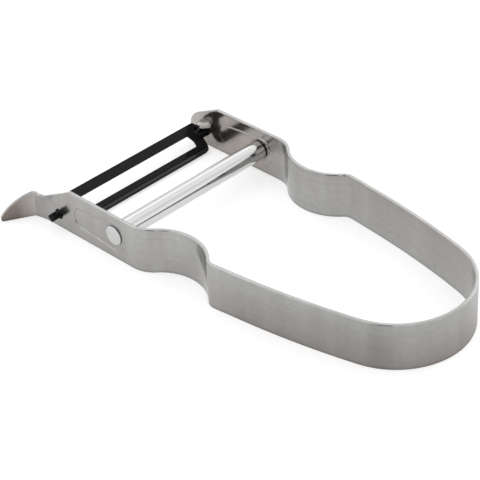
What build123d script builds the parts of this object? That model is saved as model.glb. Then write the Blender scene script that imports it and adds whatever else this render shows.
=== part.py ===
from build123d import *
import os
from math import cos, radians, sin, tan

os.makedirs("parts", exist_ok=True)

# Vegetable peeler bent from one strip of sheet steel, lying on the strip's lower edge.
# The origin is at the heel of the bow, at mid thickness on the lower edge.
# The bow opens towards -X, where two arms hold the cross bar and the swivelling blade.
# The near arm, at -Y, ends in the gouger. Lengths are in millimetres, angles in degrees.

# Strip stock
strip_height = 14.0
strip_thickness = 1.0
edge_round = 0.2
overrun = 5.0

# Bow handle, measured on its outer face from the arms back to the heel
arm_outer_width = 58.73
neck_radius = 8.85
neck_turn = 45.1
waist_radius = 14.1
waist_turn = 90.0
shoulder_radius = 3.9
side_taper = 6.5
side_run = 10.2
side_bow_radius = 245.9
side_bow_turn = 7.9

# Places along the arms
neck_to_rod = 7.2
rod_to_pivot = 23.05
rod_axis_height = 7.55
pivot_height = 4.5

# Arm ends
corner_ahead_of_rod = 17.5
corner_round = 1.2
nose_radius = 5.25
nose_ahead_of_pivot = 0.65
near_dip_behind_ridge = 2.24
near_dip_height = 7.1
near_dip_round = 4.0
arm_set_ahead_of_pivot = 3.25
arm_set_radius = 24.0
arm_set_turn = 15.0

# Gouger
ridge_radius = 0.9
ridge_turn = 45.0
ridge_height = 7.8
gouger_length = 9.5
gouger_edge_bulge = 0.95
gouger_tip_radius = 1.0
gouger_tip_angle = 40.0

# Pressed panel in each arm
panel_depth = 0.25
panel_wall_slope = 45.0
panel_big_radius = 4.5
panel_small_radius = 3.3
panel_length = 13.7
panel_behind_rod = 0.4

# Cross bar
tube_radius = 2.9
tube_chamfer = 0.35
shank_radius = 1.6
shank_clearance = 0.05
rivet_head_radius = 2.9
rivet_head_rim = 0.35
rivet_head_height = 0.75

# Blade
blade_tilt = 45.7
blade_thickness = 0.9
blade_end_gap = 2.0
blade_front_reach = 4.15
blade_rear_reach = 5.75
slot_front = 1.1
slot_rear = 2.75
strap_width = 3.6
slot_clip_length = 1.0
slot_clip_width = 2.3
slot_round = 0.5
lip_width = 1.3
lip_bend = 22.0
front_corner_round = 1.4
rear_corner_round = 2.4
cutting_bevel_width = 0.9
cutting_bevel_share = 0.6

# Pivot tongues of the blade
journal_radius = 1.5
journal_clearance = 0.05
journal_root = 1.6
journal_proud = 0.15
tongue_neck_radius = 0.85
tongue_neck_length = 1.1
tongue_head_width = 2.2
tongue_head_length = 1.6
tongue_head_round = 0.4

# Stop nub on the far arm
nub_height = 2.8
nub_radius = 1.15
nub_span = 1.8
nub_tip_span = 0.3
nub_above_pivot = 2.9
nub_clearance = 0.4
nub_draft = 5.0
nub_round = 0.5
nub_wall = 0.65

# The heel radius follows from the width that the bow has left where its side ends
heel_start_turn = side_taper + side_bow_turn
rise_turn = waist_turn - neck_turn
half_outer = arm_outer_width / 2
half_inner = half_outer - strip_thickness
heel_half_width = (
    half_outer
    - neck_radius * (1 - cos(radians(neck_turn)))
    + waist_radius * (cos(radians(neck_turn)) - cos(radians(rise_turn)))
    + shoulder_radius * (cos(radians(side_taper)) - cos(radians(rise_turn)))
    - side_run * sin(radians(side_taper))
    - side_bow_radius * (cos(radians(side_taper)) - cos(radians(heel_start_turn)))
)
heel_radius = heel_half_width / cos(radians(heel_start_turn))
bow_length = (
    neck_radius * sin(radians(neck_turn))
    + waist_radius * (sin(radians(neck_turn)) + sin(radians(rise_turn)))
    + shoulder_radius * (sin(radians(rise_turn)) + sin(radians(side_taper)))
    + side_run * cos(radians(side_taper))
    + side_bow_radius * (sin(radians(heel_start_turn)) - sin(radians(side_taper)))
    + heel_radius * (1 - sin(radians(heel_start_turn)))
)

# Places along X, counted from the heel
neck_x = strip_thickness / 2 - bow_length
rod_x = neck_x - neck_to_rod
panel_x = rod_x + panel_behind_rod
pivot_x = rod_x - rod_to_pivot
corner_x = rod_x - corner_ahead_of_rod
nose_x = pivot_x - nose_ahead_of_pivot
arm_set_x = pivot_x - arm_set_ahead_of_pivot
far_front_x = nose_x - nose_radius

# Places across Y
boss_face = half_inner - panel_depth
recess_face = half_outer - panel_depth
blade_half_length = half_inner - blade_end_gap
slot_half_length = blade_half_length - strap_width

# Directions of the tilted blade: across it towards the rear, and square to its upper face
tilt = radians(blade_tilt)
across = Vector(cos(tilt), 0, -sin(tilt))
upward = Vector(sin(tilt), 0, cos(tilt))
half_blade = blade_thickness / 2

# The nub stops the blade at its rest tilt. It is drafted, so it is thinner where the strap meets it
nub_reach_radius = nub_radius - blade_end_gap * tan(radians(nub_draft))
nub_front_x = pivot_x + (
    half_blade + nub_reach_radius + nub_clearance - nub_above_pivot * cos(tilt)
) / sin(tilt)


def arm_plane(side, face_y, x, z):
    """Plane on a face of one arm that looks inwards: side is 1 for the far arm, -1 for the near."""
    return Plane(origin=(x, side * face_y, z), x_dir=(side, 0, 0), z_dir=(0, -side, 0))


def panel_outline(side, face_y):
    """Teardrop around the cross bar that narrows towards the blade, at mid height of the strip."""
    with BuildSketch(arm_plane(side, face_y, panel_x, strip_height / 2)) as outline:
        Circle(panel_big_radius)
        with Locations((-side * panel_length, 0)):
            Circle(panel_small_radius)
        make_hull()
    return outline


# The strip, bent: its outer face runs from the far arm around the heel to the gouger
with BuildPart() as frame_strip:
    with BuildSketch() as bow_plan:
        with BuildLine() as bow_line:
            far_arm = Line((far_front_x, half_outer), (neck_x, half_outer))
            far_neck = JernArc(far_arm @ 1, far_arm % 1, neck_radius, -neck_turn)
            far_waist = JernArc(far_neck @ 1, far_neck % 1, waist_radius, waist_turn)
            far_shoulder = JernArc(far_waist @ 1, far_waist % 1, shoulder_radius, -rise_turn - side_taper)
            far_side = PolarLine(far_shoulder @ 1, side_run, direction=far_shoulder % 1)
            far_bow = JernArc(far_side @ 1, far_side % 1, side_bow_radius, -side_bow_turn)
            heel = JernArc(far_bow @ 1, far_bow % 1, heel_radius, 2 * heel_start_turn - 180)
            near_bow = JernArc(heel @ 1, heel % 1, side_bow_radius, -side_bow_turn)
            near_side = PolarLine(near_bow @ 1, side_run, direction=near_bow % 1)
            near_shoulder = JernArc(near_side @ 1, near_side % 1, shoulder_radius, -rise_turn - side_taper)
            near_waist = JernArc(near_shoulder @ 1, near_shoulder % 1, waist_radius, waist_turn)
            near_neck = JernArc(near_waist @ 1, near_waist % 1, neck_radius, -neck_turn)
            near_arm = Line(near_neck @ 1, (arm_set_x, -half_outer))
            arm_set = JernArc(near_arm @ 1, near_arm % 1, arm_set_radius, arm_set_turn)
            ridge = JernArc(arm_set @ 1, arm_set % 1, ridge_radius, ridge_turn)
            gouger_line = PolarLine(ridge @ 1, gouger_length, direction=ridge % 1)
            offset(amount=strip_thickness, side=Side.RIGHT)
        make_face()
    extrude(amount=strip_height)
    ridge_x = (ridge @ 0.5).X
    gouger_tip_x = (gouger_line @ 1).X

    # The stock has rounded edges, so both long edges of the bent strip are rounded
    stock_edges = frame_strip.edges().group_by(Axis.Z)
    for level in (0, -1):
        fillet(stock_edges[level].filter_by(lambda edge: edge.length > 1.5 * strip_thickness), edge_round)

    # Far arm's nose: a round end joined to the top corner by a tangent slope
    with BuildSketch(Plane.XZ, mode=Mode.PRIVATE) as far_keep:
        with Locations((nose_x, nose_radius)):
            Circle(nose_radius)
        with Locations((corner_x, strip_height / 2)):
            Rectangle(overrun, strip_height, align=(Align.MIN, Align.CENTER))
        make_hull()
    with BuildSketch(Plane.XZ) as far_trim:
        with Locations((corner_x, strip_height / 2)):
            Rectangle(
                corner_x - far_front_x + overrun,
                strip_height + 2 * overrun,
                align=(Align.MAX, Align.CENTER),
            )
        add(far_keep.sketch, mode=Mode.SUBTRACT)
    extrude(amount=-half_outer - overrun, mode=Mode.SUBTRACT)

    # Near arm: the top edge slopes to a dip, then rises to the ridge of the gouger
    with BuildSketch(Plane.XZ) as near_trim:
        with BuildLine():
            FilletPolyline(
                (corner_x + overrun, strip_height + overrun),
                (corner_x + overrun, strip_height),
                (corner_x, strip_height),
                (ridge_x + near_dip_behind_ridge, near_dip_height),
                (ridge_x, ridge_height),
                (gouger_tip_x - overrun, ridge_height),
                (gouger_tip_x - overrun, strip_height + overrun),
                radius=(0, 0, corner_round, near_dip_round, 0, 0, 0),
                close=True,
            )
        make_face()
    extrude(amount=half_outer + gouger_length + overrun, mode=Mode.SUBTRACT)

    # Gouger: cut to shape in its own plane, with a bowed upper edge and a round tip
    gouger_start = gouger_line @ 0
    gouger_run = gouger_line % 0
    gouger_plane = Plane(
        origin=(gouger_start.X, gouger_start.Y, 0),
        x_dir=(gouger_run.X, gouger_run.Y, 0),
        z_dir=(gouger_run.Y, -gouger_run.X, 0),
    )
    with BuildSketch(gouger_plane) as gouger_trim:
        with Locations((0, strip_height / 2)):
            Rectangle(
                gouger_length + overrun,
                strip_height + 2 * overrun,
                align=(Align.MIN, Align.CENTER),
            )
        with BuildLine():
            tip_arc = CenterArc(
                (gouger_length - gouger_tip_radius, gouger_tip_radius),
                gouger_tip_radius,
                -90,
                90 + gouger_tip_angle,
            )
            gouger_foot = Line((0, 0), tip_arc @ 0)
            gouger_edge = SagittaArc((0, ridge_height), tip_arc @ 1, gouger_edge_bulge)
            Line(gouger_foot @ 0, gouger_edge @ 0)
        make_face(mode=Mode.SUBTRACT)
    extrude(amount=2 * strip_thickness, both=True, mode=Mode.SUBTRACT)

    # Pressed panels: sunk in the outer face of each arm and raised on its inner face
    for side in (1, -1):
        recess = panel_outline(side, half_outer)
        extrude(recess.sketch, amount=panel_depth, taper=panel_wall_slope, mode=Mode.SUBTRACT)
        boss = panel_outline(side, half_inner)
        extrude(boss.sketch, amount=panel_depth, taper=panel_wall_slope)

    # Stop nub: drawn inwards on the far arm, steep in front and sloped at its rear,
    # with its hollow on the outer face
    nub_z = pivot_height + nub_above_pivot
    nub_tip_x = nub_front_x + nub_tip_span / 2
    nub_tip_radius = nub_radius - nub_height * tan(radians(nub_draft))
    with BuildSketch(arm_plane(1, half_inner, nub_front_x + nub_span / 2, nub_z)):
        SlotCenterToCenter(nub_span, 2 * nub_radius)
    with BuildSketch(arm_plane(1, half_inner - nub_height, nub_tip_x, nub_z)):
        SlotCenterToCenter(nub_tip_span, 2 * nub_tip_radius)
    loft(ruled=True)
    nub_rim = frame_strip.faces().filter_by(Axis.Y).sort_by_distance(
        (nub_tip_x, half_inner - nub_height, nub_z)
    )[0]
    fillet(nub_rim.edges(), nub_round)
    with BuildSketch(arm_plane(1, half_outer, nub_tip_x, nub_z)):
        SlotCenterToCenter(nub_tip_span, 2 * (nub_radius - nub_wall))
    extrude(amount=nub_height + strip_thickness - nub_wall, mode=Mode.SUBTRACT)

    # Holes for the rivet and for the pivot tongues, through both arms
    with BuildSketch(Plane.XZ):
        with Locations((rod_x, rod_axis_height)):
            Circle(shank_radius + shank_clearance)
        with Locations((pivot_x, pivot_height)):
            Circle(journal_radius + journal_clearance)
    extrude(amount=half_outer + overrun, both=True, mode=Mode.SUBTRACT)

frame_strip.part.label = "frame_strip"
export_step(frame_strip.part, "parts/frame_strip.step")

# Blade: a slotted plate with a turned-up rear lip, held by a tongue at each end
lip_rise = radians(lip_bend)
crease = blade_rear_reach - lip_width * cos(lip_rise)
mitre = half_blade * tan(lip_rise / 2)
lip_end_rise = lip_width * sin(lip_rise)
lip_skew = half_blade * sin(lip_rise)
lip_half = half_blade * cos(lip_rise)

with BuildPart() as blade:
    section_plane = Plane(
        origin=(pivot_x, blade_half_length, pivot_height), x_dir=across, z_dir=(0, -1, 0)
    )
    with BuildSketch(section_plane) as blade_section:
        with BuildLine():
            Polyline(
                (-blade_front_reach, -half_blade),
                (crease + mitre, -half_blade),
                (blade_rear_reach + lip_skew, lip_end_rise - lip_half),
                (blade_rear_reach - lip_skew, lip_end_rise + lip_half),
                (crease - mitre, half_blade),
                (-blade_front_reach, half_blade),
                close=True,
            )
        make_face()
    extrude(amount=2 * blade_half_length)

    # Outline with rounded corners, and the slot with its clipped front corners
    flat_plane = Plane(origin=(pivot_x, 0, pivot_height), x_dir=across, z_dir=upward)
    with BuildSketch(flat_plane) as blade_outline:
        with BuildLine():
            FilletPolyline(
                (-blade_front_reach, -blade_half_length),
                (blade_rear_reach + lip_skew, -blade_half_length),
                (blade_rear_reach + lip_skew, blade_half_length),
                (-blade_front_reach, blade_half_length),
                radius=(front_corner_round, rear_corner_round, rear_corner_round, front_corner_round),
                close=True,
            )
        make_face()
    extrude(amount=overrun, both=True, mode=Mode.INTERSECT)
    with BuildSketch(flat_plane) as blade_slot:
        with BuildLine():
            FilletPolyline(
                (slot_rear, -slot_half_length),
                (slot_rear, slot_half_length),
                (slot_clip_width - slot_front, slot_half_length),
                (-slot_front, slot_half_length - slot_clip_length),
                (-slot_front, slot_clip_length - slot_half_length),
                (slot_clip_width - slot_front, -slot_half_length),
                radius=slot_round,
                close=True,
            )
        make_face()
    extrude(amount=overrun, both=True, mode=Mode.SUBTRACT)

    # The two long sides of the slot are ground from below to the cutting edges
    slot_sides = blade.edges().filter_by(Axis.Y).filter_by(
        lambda edge: edge.length < 2 * slot_half_length
    )
    lower_sides = slot_sides.sort_by(Axis((pivot_x, 0, pivot_height), upward))[:2]
    chamfer(lower_sides, cutting_bevel_width * cutting_bevel_share, cutting_bevel_width)

    # Tongue at each end: a round journal in the arm, then a neck and a squared head
    journal_length = journal_root + blade_end_gap + strip_thickness + journal_proud
    for side in (1, -1):
        root = blade_half_length - journal_root
        for start, length, width, is_round in (
            (root, journal_length, 2 * journal_radius, True),
            (root + journal_length, tongue_neck_length, 2 * tongue_neck_radius, True),
            (root + journal_length + tongue_neck_length, tongue_head_length, tongue_head_width, False),
        ):
            tongue_plane = Plane(
                origin=(pivot_x, side * start, pivot_height), x_dir=across, z_dir=(0, side, 0)
            )
            with BuildSketch(tongue_plane):
                if is_round:
                    Circle(width / 2)
                else:
                    RectangleRounded(width, width, tongue_head_round)
            extrude(amount=length)

blade.part.label = "blade"
export_step(blade.part, "parts/blade.step")

# Cross bar: a tube that spaces the arms, between the raised panels
with BuildPart() as spacer_tube:
    with BuildSketch(Plane.XZ.offset(-boss_face)):
        with Locations((rod_x, rod_axis_height)):
            Circle(tube_radius)
            Circle(shank_radius + shank_clearance, mode=Mode.SUBTRACT)
    extrude(amount=2 * boss_face)
    tube_rims = spacer_tube.edges().filter_by(GeomType.CIRCLE).sort_by(SortBy.RADIUS)[-2:]
    chamfer(tube_rims, tube_chamfer)

spacer_tube.part.label = "spacer_tube"
export_step(spacer_tube.part, "parts/spacer_tube.step")

# Rivet through the tube, with a low domed head sunk in each panel
dome_rise = rivet_head_height - rivet_head_rim

with BuildPart() as tie_rivet:
    rivet_plane = Plane(origin=(rod_x, 0, rod_axis_height), x_dir=(0, 1, 0), z_dir=(1, 0, 0))
    with BuildSketch(rivet_plane):
        with BuildLine():
            shank_line = Polyline(
                (0, 0),
                (0, shank_radius),
                (recess_face, shank_radius),
                (recess_face, rivet_head_radius),
                (recess_face + rivet_head_rim, rivet_head_radius),
            )
            dome = RadiusArc(
                shank_line @ 1,
                (recess_face + rivet_head_height, 0),
                (rivet_head_radius**2 + dome_rise**2) / (2 * dome_rise),
            )
            Line(dome @ 1, shank_line @ 0)
        make_face()
    revolve(axis=Axis((rod_x, 0, rod_axis_height), (0, 1, 0)))
    mirror(about=Plane.XZ)

tie_rivet.part.label = "tie_rivet"
export_step(tie_rivet.part, "parts/tie_rivet.step")
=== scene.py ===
from math import cos, pi, radians, sin, tan

import bpy
from mathutils import Matrix, Vector


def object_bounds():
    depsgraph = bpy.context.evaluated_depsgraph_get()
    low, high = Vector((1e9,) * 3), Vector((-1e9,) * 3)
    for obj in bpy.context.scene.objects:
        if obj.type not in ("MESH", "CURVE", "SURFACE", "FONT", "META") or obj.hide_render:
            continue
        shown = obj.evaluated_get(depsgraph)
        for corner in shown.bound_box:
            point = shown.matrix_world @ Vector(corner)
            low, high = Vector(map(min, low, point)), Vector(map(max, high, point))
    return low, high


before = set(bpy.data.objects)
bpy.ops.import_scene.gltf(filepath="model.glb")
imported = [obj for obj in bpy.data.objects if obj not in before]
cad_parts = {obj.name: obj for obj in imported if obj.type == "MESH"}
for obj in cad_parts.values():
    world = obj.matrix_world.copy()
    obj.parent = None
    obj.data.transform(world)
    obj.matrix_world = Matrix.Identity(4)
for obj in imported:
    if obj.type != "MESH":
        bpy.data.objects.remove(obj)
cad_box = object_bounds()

# Lengths in this script are in metres, angles in degrees, in the frame of the CAD model.

# Camera, solved from the photograph's straight edges
photo_size = 480
focal_pixels = 1720.13
sensor_width = 36.0
view_azimuth = 45.97
view_elevation = 35.06
view_roll = -3.09
view_distance = 0.47638
view_target = Vector((-0.07556, -0.00094, 0.0))
view_clip = 0.01

# Stage
floor_drop = 0.00002
floor_half_width = 3.0
floor_grey = 0.74
floor_glow = 0.55
matt = 0.9
white = (1.0, 1.0, 1.0)
across = Vector((0.0, 1.0, 0.0))
upward = Vector((0.0, 0.0, 1.0))

# Studio: white wherever it is seen or mirrored, with this level of light from all sides
world_level = 0.62
studio_middle = Vector((-0.065, 0.0, 0.0))

# Softboxes, long panels across the peeler: the angle over it from the +X side, the angle that the panel
# covers, and the brightness that it adds as a share of white
softbox_distance = 1.4
softbox_length = 5.0
softbox_shares = ((24, 30, 0.22), (92, 50, 0.2), (130, 24, 0.55))

# One more softbox stands upright on the floor, at an azimuth from +X towards +Y
side_azimuth = 82
side_cover = 50
side_height = 1.4
side_share = 0.8

# Black card that stands beside the peeler, for dark lines in its steel
card_azimuth = -64
card_distance = 1.2
card_width = 0.56
card_height = 3.2
card_colour = (0.02, 0.018, 0.022)

# Places on the strip that its finish and its painted shade go by: along X, but along Y for the gouger, and
# along Z for the rim and for the height, which is the height of the whole peeler
strip_height = cad_box[1][2]
bow_middle = (-0.045, 0.0, 0.0)
arm_end = -0.094
bow_start = -0.088
shoulder_end = -0.066
grip_start = -0.05
toe_start = -0.118
toe_end = -0.123
gouger_start = -0.0297
gouger_end = -0.0345
rim_start = 0.0122
rim_end = 0.0130

# Painted shade and painted reflections of the strip, a factor on its colour, for its inner and outer faces at
# their lower and upper edge, and a painted highlight on its upper edges
bow_inside_low = 1.0
neck_outside_low = 0.92
grip_outside_low = 0.73
neck_inside_high = 0.97
grip_inside_high = 0.83
bow_outside_high = 1.05
arm_inside_shade = 0.92
toe_inside_shade = 1.12
arm_outside_low = 0.92
arm_outside_high = 0.98
gouger_low = 0.42
gouger_high = 0.9
# Painted highlight on the upper edges of the strip
painted_edge_highlight = 1.05

# Roughness of the strip, and how far its brushing smears what it mirrors
arm_inside_rough = 0.16
arm_outside_rough = 0.2
bow_inside_rough = 0.26
neck_outside_rough = 0.19
grip_outside_rough = 0.4
edge_rough = 0.05
cloud_range = (0.9, 1.1)
arm_inside_smear = 0.2
arm_outside_smear = 0.5
bow_inside_smear = 0.75
bow_outside_smear = 0.9
edge_smear = 0.0
smear_turn = 0.25

# The brushing runs square to this direction, turned a little from the one that the top edge looks along
nearly_up = (0.02, 0.01, 1.0)

# Colours of the strip: the steel's own, tints that vary it around white, a warm tint for the painted shade,
# and a warm tint for a painted reflection on the inner faces of the arms
strip_metallic = 0.94
steel_colours = ((0.352, 0.349, 0.343), (0.403, 0.401, 0.395))
mark_tints = ((0.955, 0.95, 0.945), (1.045, 1.045, 1.045))
brush_tints = ((0.972, 0.97, 0.968), (1.028, 1.03, 1.032))
mottle_tints = ((0.97, 0.958, 0.95), (1.03, 1.036, 1.042))
painted_shade_tint = (1.0, 0.80, 0.70)
# Painted reflection: a warm tint on the inner faces of the arms
painted_arm_reflection_tint = (1.0, 0.955, 0.925)

# Colours and roughness of the other pieces
black_colours = ((0.005, 0.005, 0.0055), (0.008, 0.0075, 0.0085))
black_rough = (0.1, 0.17)
chrome_colours = ((0.60, 0.60, 0.597), (0.64, 0.64, 0.637))
chrome_rough = (0.05, 0.1)
rivet_colours = ((0.53, 0.53, 0.525), (0.57, 0.57, 0.565))
rivet_rough = (0.14, 0.22)

# Gloss of the black coating, which goes by the lean of its faces and so changes as the blade swivels:
# where it stands upright or looks down, on its flat face, in the bends around its lip, and on the lip
upright_gloss = 0.03
face_gloss = 0.21
crease_gloss = 0.0
lip_gloss = 0.45

# Painted highlight: the coating is painted grey along its front edge, between two places along X
front_highlight_start = -0.117
front_highlight_end = -0.119
front_highlight_width = 0.0003
front_highlight_grey = (0.12, 0.12, 0.122)

# Lean of a surface, the upward part of its normal: each change runs from a start to an end
edge_lean_start = 0.1
edge_lean_end = 0.35
face_lean_start = 0.3
face_lean_end = 0.6
crease_lean_start = 0.72
crease_lean_end = 0.74
lip_lean_start = 0.88
lip_lean_end = 0.9

# Radii that edges are rounded by in the look
edge_soften = 0.00018
strip_soften = 0.00028
rim_soften = 0.0006
lip_soften = 0.00045

# Shade in creases: how far it reaches, the openness up to which it is full and from which there is none,
# and its factor on the colour where it is full
crease_reach = 0.0012
crease_closed = 0.35
crease_open = 0.95
crease_shade = 0.5

# Samples of each node that looks at the shape nearby
nearby_samples = 8

# Match of a surface's normal with the rounded one, on a flat face and on a sharp edge
flat_match = 0.995
sharp_match = 0.85

# Grain: sizes of its cells, its depth and strength as relief, and the range of the noise behind it
brush_line = 0.00012
brush_length = 0.4
cloud_cell = (0.012, 0.012, 0.006)
mark_cell = (0.004, 0.004, 0.09)
brush_cell = (0.03, 0.03, 0.0008)
mottle_cell = (0.0016, 0.0016, 0.0012)
wave_cell = (0.0009, 0.0009, 0.0009)
bar_line_length = 0.04
rivet_cell = (0.0002, 0.0002, 0.0002)
strip_relief = 0.000002
wave_relief = 0.00001
bar_relief = 0.000001
rivet_relief = 0.000004
grain_strength = 0.3
wave_strength = 0.25
soft_detail = 2.0
fine_detail = 3.0
noise_low = 0.3
noise_high = 0.7

# Places of the colour sockets on a Mix node
colour_a = 6
colour_b = 7
colour_result = 2


class Shader:
    """Builds one material's nodes around its Principled shader."""

    def __init__(self, name, **sockets):
        self.material = bpy.data.materials.new(name)
        self.material.use_nodes = True
        self.nodes = self.material.node_tree.nodes
        self.links = self.material.node_tree.links
        self.principled = self.nodes["Principled BSDF"]
        for socket, value in sockets.items():
            self.principled.inputs[socket.replace("_", " ")].default_value = value

    def add(self, kind, **settings):
        node = self.nodes.new("ShaderNode" + kind)
        for name, value in settings.items():
            setattr(node, name, value)
        return node

    def link(self, source, target):
        self.links.new(source, target)

    def feed(self, socket, source):
        """Links source to the named socket of the Principled shader."""
        self.link(source, self.principled.inputs[socket])

    def ramp(self, value, start, end):
        """Goes from 0 to 1 as value goes from start to end."""
        ramp = self.add("MapRange")
        ramp.inputs["From Min"].default_value = start
        ramp.inputs["From Max"].default_value = end
        self.link(value, ramp.inputs["Value"])
        return ramp.outputs["Result"]

    def blend(self, factor, low, high):
        """A number that goes from low to high, both numbers or sockets, as factor goes from 0 to 1."""
        mix = self.add("Mix")
        for socket, value in (("A", low), ("B", high)):
            if isinstance(value, float):
                mix.inputs[socket].default_value = value
            else:
                self.link(value, mix.inputs[socket])
        self.link(factor, mix.inputs["Factor"])
        return mix.outputs["Result"]

    def tint(self, factor, low, high):
        """A colour that goes from low to high, both colours or sockets, as factor goes from 0 to 1."""
        mix = self.add("Mix", data_type="RGBA")
        for socket, colour in ((colour_a, low), (colour_b, high)):
            if isinstance(colour, tuple):
                mix.inputs[socket].default_value = (*colour, 1.0)
            else:
                self.link(colour, mix.inputs[socket])
        self.link(factor, mix.inputs["Factor"])
        return mix.outputs[colour_result]

    def times(self, first, second):
        """Product of two numbers."""
        product = self.add("Math", operation="MULTIPLY")
        self.link(first, product.inputs[0])
        self.link(second, product.inputs[1])
        return product.outputs["Value"]

    def streaks(self, cell, detail):
        """Noise whose cells have the given sizes along x, y and z."""
        place = self.add("TexCoord")
        scale = self.add("Mapping")
        scale.inputs["Scale"].default_value = [1 / size for size in cell]
        noise = self.add("TexNoise")
        noise.inputs["Scale"].default_value = 1.0
        noise.inputs["Detail"].default_value = detail
        self.link(place.outputs["Object"], scale.inputs["Vector"])
        self.link(scale.outputs["Vector"], noise.inputs["Vector"])
        return noise.outputs["Fac"]

    def between(self, noise, low, high):
        """A number that follows noise from low to high."""
        spread = self.add("MapRange")
        spread.inputs["From Min"].default_value = noise_low
        spread.inputs["From Max"].default_value = noise_high
        spread.inputs["To Min"].default_value = low
        spread.inputs["To Max"].default_value = high
        self.link(noise, spread.inputs["Value"])
        return spread.outputs["Result"]

    def mottled(self, cell, low, high):
        """A colour that wanders over its whole range from low to high, in cells of the given sizes."""
        return self.tint(self.between(self.streaks(cell, fine_detail), 0.0, 1.0), low, high)

    def outward(self):
        """1 on the faces of the bow that look away from its middle, 0 on those that look at it."""
        geometry = self.add("NewGeometry")
        place = self.add("TexCoord")
        arm = self.add("VectorMath", operation="SUBTRACT")
        arm.inputs[1].default_value = bow_middle
        along = self.add("VectorMath", operation="DOT_PRODUCT")
        away = self.add("Math", operation="GREATER_THAN")
        away.inputs[1].default_value = 0.0
        self.link(place.outputs["Object"], arm.inputs[0])
        self.link(arm.outputs["Vector"], along.inputs[0])
        self.link(geometry.outputs["Normal"], along.inputs[1])
        self.link(along.outputs["Value"], away.inputs[0])
        return away.outputs["Value"]

    def along(self, axis, start, end):
        """Goes from 0 at start to 1 at end, along one axis of the object."""
        place = self.add("TexCoord")
        split = self.add("SeparateXYZ")
        self.link(place.outputs["Object"], split.inputs["Vector"])
        return self.ramp(split.outputs[axis], start, end)

    def leaning(self, start, end, radius):
        """Goes from 0 to 1 as the surface turns upwards, with its edges rounded by the given radius."""
        split = self.add("SeparateXYZ")
        self.link(self.softened(radius), split.inputs["Vector"])
        return self.ramp(split.outputs["Z"], start, end)

    def sharp_edges(self, width):
        """1 along sharp edges, fading to 0 at about the given distance from them."""
        geometry = self.add("NewGeometry")
        match = self.add("VectorMath", operation="DOT_PRODUCT")
        self.link(geometry.outputs["Normal"], match.inputs[0])
        self.link(self.softened(width), match.inputs[1])
        return self.ramp(match.outputs["Value"], flat_match, sharp_match)

    def softened(self, radius):
        """Normal of the surface with its edges rounded by the given radius, a number or a socket."""
        soft = self.add("Bevel", samples=nearby_samples)
        if isinstance(radius, float):
            soft.inputs["Radius"].default_value = radius
        else:
            self.link(radius, soft.inputs["Radius"])
        return soft.outputs["Normal"]

    def base_colour(self, *colours):
        """Base colour from the product of colours, with painted shade that darkens it in the creases."""
        crease = self.add("AmbientOcclusion", samples=nearby_samples)
        crease.inputs["Distance"].default_value = crease_reach
        painted_shade = self.add("MapRange")
        painted_shade.inputs["From Min"].default_value = crease_closed
        painted_shade.inputs["From Max"].default_value = crease_open
        painted_shade.inputs["To Min"].default_value = crease_shade
        self.link(crease.outputs["AO"], painted_shade.inputs["Value"])
        product = painted_shade.outputs["Result"]
        for colour in colours:
            step = self.add("Mix", data_type="RGBA", blend_type="MULTIPLY")
            step.inputs["Factor"].default_value = 1.0
            self.link(product, step.inputs[colour_a])
            self.link(colour, step.inputs[colour_b])
            product = step.outputs[colour_result]
        self.feed("Base Color", product)

    def relief(self, height, depth, strength, radius=edge_soften):
        """Bump of the given depth over edges that are softened by a small round."""
        bump = self.add("Bump")
        bump.inputs["Strength"].default_value = strength
        bump.inputs["Distance"].default_value = depth
        self.link(height, bump.inputs["Height"])
        self.link(self.softened(radius), bump.inputs["Normal"])
        self.feed("Normal", bump.outputs["Normal"])

    def level_tangent(self):
        """Tangent that runs level along an upright face, as the brushing does."""
        geometry = self.add("NewGeometry")
        cross = self.add("VectorMath", operation="CROSS_PRODUCT")
        cross.inputs[1].default_value = nearly_up
        self.link(geometry.outputs["Normal"], cross.inputs[0])
        self.feed("Tangent", cross.outputs["Vector"])


class Strip:
    """Masks of the strip's stretches in one shader, for values that differ from stretch to stretch."""

    def __init__(self, steel):
        self.steel = steel
        self.outer = steel.outward()
        self.bow = steel.along("X", arm_end, bow_start)
        self.grip = steel.along("X", shoulder_end, grip_start)
        self.gouger = steel.along("Y", gouger_start, gouger_end)
        self.toe = steel.along("X", toe_start, toe_end)
        self.height = steel.along("Z", 0.0, strip_height)
        self.soft = steel.blend(steel.along("Z", rim_start, rim_end), strip_soften, rim_soften)
        self.edge = steel.leaning(edge_lean_start, edge_lean_end, self.soft)

    def sides(self, inside, outside):
        """A number for the inner faces and one for the outer faces."""
        return self.steel.blend(self.outer, inside, outside)

    def painted_shade(self):
        """Painted shade, reflections and edge highlight as a factor on the strip's colour, from its lower
        edge to its upper edge and along its length.
        """
        blend = self.steel.blend
        low_bow = self.sides(bow_inside_low, blend(self.grip, neck_outside_low, grip_outside_low))
        high_bow = self.sides(blend(self.grip, neck_inside_high, grip_inside_high), bow_outside_high)
        inner_toe = blend(self.toe, arm_inside_shade, toe_inside_shade)
        low_arm = blend(self.gouger, self.sides(inner_toe, arm_outside_low), gouger_low)
        high_arm = blend(self.gouger, self.sides(inner_toe, arm_outside_high), gouger_high)
        low = blend(self.bow, low_arm, low_bow)
        high = blend(self.bow, high_arm, high_bow)
        return blend(self.edge, blend(self.height, low, high), painted_edge_highlight)

    def inner_arm(self):
        """1 on the inner faces of the arms, 0 elsewhere."""
        return self.steel.blend(self.bow, self.sides(1.0, 0.0), 0.0)

    def roughness(self):
        """Roughness of the faces, and of the edges, which are bright."""
        blend = self.steel.blend
        arm = self.sides(arm_inside_rough, arm_outside_rough)
        bow = self.sides(bow_inside_rough, blend(self.grip, neck_outside_rough, grip_outside_rough))
        return blend(self.edge, blend(self.bow, arm, bow), edge_rough)

    def smear(self):
        """How far the brushing smears what the strip mirrors."""
        arm = self.sides(arm_inside_smear, arm_outside_smear)
        bow = self.sides(bow_inside_smear, bow_outside_smear)
        return self.steel.blend(self.edge, self.steel.blend(self.bow, arm, bow), edge_smear)


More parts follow.
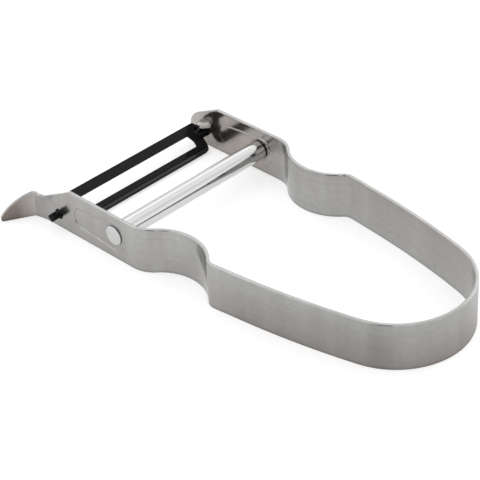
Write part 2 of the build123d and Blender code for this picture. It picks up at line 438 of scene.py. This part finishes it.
def strip_steel():
    """Satin stainless strip, brushed along its length, with a finish, a painted shade and painted reflections
    that change from place to place.
    """
    steel = Shader("strip_satin_steel", Metallic=strip_metallic, Anisotropic_Rotation=smear_turn)
    strip = Strip(steel)
    lines = steel.streaks((brush_length, brush_length, brush_line), soft_detail)
    clouds = steel.streaks(cloud_cell, soft_detail)
    # Painted shade and painted reflections go into the base colour: the painted shade darkens it and warms it
    # where it is low, and a painted reflection warms the inner faces of the arms
    painted_shade = strip.painted_shade()
    steel.base_colour(
        steel.tint(lines, *steel_colours),
        steel.mottled(mark_cell, *mark_tints),
        steel.mottled(brush_cell, *brush_tints),
        steel.mottled(mottle_cell, *mottle_tints),
        steel.tint(painted_shade, painted_shade_tint, white),
        steel.tint(strip.inner_arm(), white, painted_arm_reflection_tint),
        painted_shade,
    )
    steel.feed("Roughness", steel.times(strip.roughness(), steel.between(clouds, *cloud_range)))
    steel.feed("Anisotropic", strip.smear())
    steel.relief(lines, strip_relief, grain_strength, strip.soft)
    steel.level_tangent()
    return steel.material


def black_coating():
    """Smooth black coating with the slight waviness of a dipped part, and a painted highlight in grey along
    its front edge.
    """
    coat = Shader("blade_black_coating")
    waves = coat.streaks(wave_cell, soft_detail)
    front = coat.along("X", front_highlight_start, front_highlight_end)
    # Painted highlight in grey along the sharp front edges
    front_highlight = coat.blend(front, 0.0, coat.sharp_edges(front_highlight_width))
    coat.feed("Base Color", coat.tint(front_highlight, coat.tint(waves, *black_colours), front_highlight_grey))
    face = coat.blend(coat.leaning(face_lean_start, face_lean_end, lip_soften), upright_gloss, face_gloss)
    crease = coat.blend(coat.leaning(crease_lean_start, crease_lean_end, lip_soften), face, crease_gloss)
    lip = coat.blend(coat.leaning(lip_lean_start, lip_lean_end, lip_soften), crease, lip_gloss)
    coat.feed("Specular IOR Level", lip)
    coat.feed("Roughness", coat.between(waves, *black_rough))
    coat.relief(waves, wave_relief, wave_strength)
    return coat.material


def bar_chrome():
    """Polished bar, drawn along its length."""
    chrome = Shader("bar_polished_chrome", Metallic=1.0)
    lines = chrome.streaks((brush_line, bar_line_length, brush_line), fine_detail)
    chrome.base_colour(chrome.tint(lines, *chrome_colours))
    chrome.feed("Roughness", chrome.between(lines, *chrome_rough))
    chrome.relief(lines, bar_relief, grain_strength)
    return chrome.material


def rivet_steel():
    """Pressed rivet head with a fine satin face."""
    rivet = Shader("rivet_satin_chrome", Metallic=1.0)
    grain = rivet.streaks(rivet_cell, fine_detail)
    rivet.base_colour(rivet.tint(grain, *rivet_colours))
    rivet.feed("Roughness", rivet.between(grain, *rivet_rough))
    rivet.relief(grain, rivet_relief, grain_strength)
    return rivet.material


def dress(node, material):
    """Gives a CAD node its material."""
    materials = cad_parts[node].data.materials
    materials.clear()
    materials.append(material)


def shown_rays(nodes, links):
    """1 on rays from the camera, from reflections and through glass, 0 on the rays that only light things."""
    path = nodes.new("ShaderNodeLightPath")
    shown = path.outputs["Is Camera Ray"]
    for output in ("Is Glossy Ray", "Is Transmission Ray"):
        either = nodes.new("ShaderNodeMath")
        either.operation = "MAXIMUM"
        links.new(shown, either.inputs[0])
        links.new(path.outputs[output], either.inputs[1])
        shown = either.outputs["Value"]
    return shown


def add_panel(name, corners, material):
    """Flat four-cornered piece of the stage."""
    mesh = bpy.data.meshes.new(name)
    mesh.from_pydata(corners, [], [(0, 1, 2, 3)])
    mesh.materials.append(material)
    panel = bpy.data.objects.new(name, mesh)
    bpy.context.scene.collection.objects.link(panel)
    return panel


def add_floor():
    """Plain pale floor that is white where it is seen or mirrored, with the object's shadow kept."""
    paint = Shader("floor_pale", Base_Color=(floor_grey, floor_grey, floor_grey, 1.0), Roughness=matt,
                   Specular_IOR_Level=0.0, Emission_Color=(*white, 1.0))
    paint.feed("Emission Strength", paint.blend(shown_rays(paint.nodes, paint.links), 0.0, floor_glow))
    half = floor_half_width
    corners = [(-half, -half), (half, -half), (half, half), (-half, half)]
    floor = add_panel("floor", [(x, y, -floor_drop) for x, y in corners], paint.material)


def add_world():
    """Plain white surround, with the studio's level of light."""
    world = bpy.data.worlds.new("studio")
    bpy.context.scene.world = world
    world.use_nodes = True
    tree = world.node_tree
    level = tree.nodes.new("ShaderNodeMapRange")
    level.inputs["To Min"].default_value = world_level
    background = tree.nodes["Background"]
    background.inputs["Color"].default_value = (*white, 1.0)
    tree.links.new(shown_rays(tree.nodes, tree.links), level.inputs["Value"])
    tree.links.new(level.outputs["Result"], background.inputs["Strength"])


def heading(azimuth):
    """Level direction at an azimuth from +X towards +Y."""
    return Vector((cos(radians(azimuth)), sin(radians(azimuth)), 0.0))


def facing(level, back):
    """Turn whose X axis is level and whose Z axis is back."""
    return Matrix((level, back.cross(level), back)).transposed().to_4x4()


def add_softbox(back, level, length, cover, share, rise=0.0):
    """Soft panel that faces the peeler from the direction back, its length along level."""
    width = 2 * softbox_distance * tan(radians(cover / 2))
    light = bpy.data.lights.new("softbox", "AREA")
    light.shape = "RECTANGLE"
    light.size = length
    light.size_y = width
    light.energy = share * pi * length * width
    softbox = bpy.data.objects.new("softbox", light)
    middle = studio_middle + back * softbox_distance + upward * rise
    softbox.matrix_world = Matrix.Translation(middle) @ facing(level, back)
    softbox.visible_camera = False
    bpy.context.scene.collection.objects.link(softbox)


def add_softboxes():
    """Panels over the peeler, and one beside it."""
    for angle, cover, share in softbox_shares:
        back = Vector((cos(radians(angle)), 0.0, sin(radians(angle))))
        add_softbox(back, across, softbox_length, cover, share)
    add_softbox(heading(side_azimuth), upward, side_height, side_cover, side_share, side_height / 2)


def add_card():
    """Upright black card on the floor, which only reflections show."""
    paint = Shader("card_black", Base_Color=(*card_colour, 1.0), Roughness=matt, Specular_IOR_Level=0.0)
    toward = heading(card_azimuth)
    level = Vector((-toward.y, toward.x, 0.0)) * card_width / 2
    rise = upward * card_height
    foot = studio_middle + toward * card_distance
    corners = [foot - level, foot + level, foot + level + rise, foot - level + rise]
    card = add_panel("card", corners, paint.material)
    card.visible_camera = False
    card.visible_diffuse = False
    card.visible_shadow = False


def add_camera():
    """Camera of the photograph, turned about its own axis by the roll."""
    azimuth, elevation, roll = radians(view_azimuth), radians(view_elevation), radians(view_roll)
    back = Vector((sin(azimuth) * cos(elevation), -cos(azimuth) * cos(elevation), sin(elevation)))
    level = heading(view_azimuth)
    rise = back.cross(level)
    right = level * cos(roll) + rise * sin(roll)
    lens = bpy.data.cameras.new("camera")
    lens.sensor_fit = "HORIZONTAL"
    lens.sensor_width = sensor_width
    lens.lens = focal_pixels / photo_size * sensor_width
    lens.clip_start = view_clip
    camera = bpy.data.objects.new("camera", lens)
    camera.matrix_world = Matrix.Translation(view_target + back * view_distance) @ facing(right, back)
    bpy.context.scene.collection.objects.link(camera)
    bpy.context.scene.camera = camera


dress("frame_strip", strip_steel())
dress("blade", black_coating())
dress("spacer_tube", bar_chrome())
dress("tie_rivet", rivet_steel())

add_floor()
add_world()
add_softboxes()
add_card()
add_camera()
bpy.context.scene.view_settings.view_transform = "Standard"
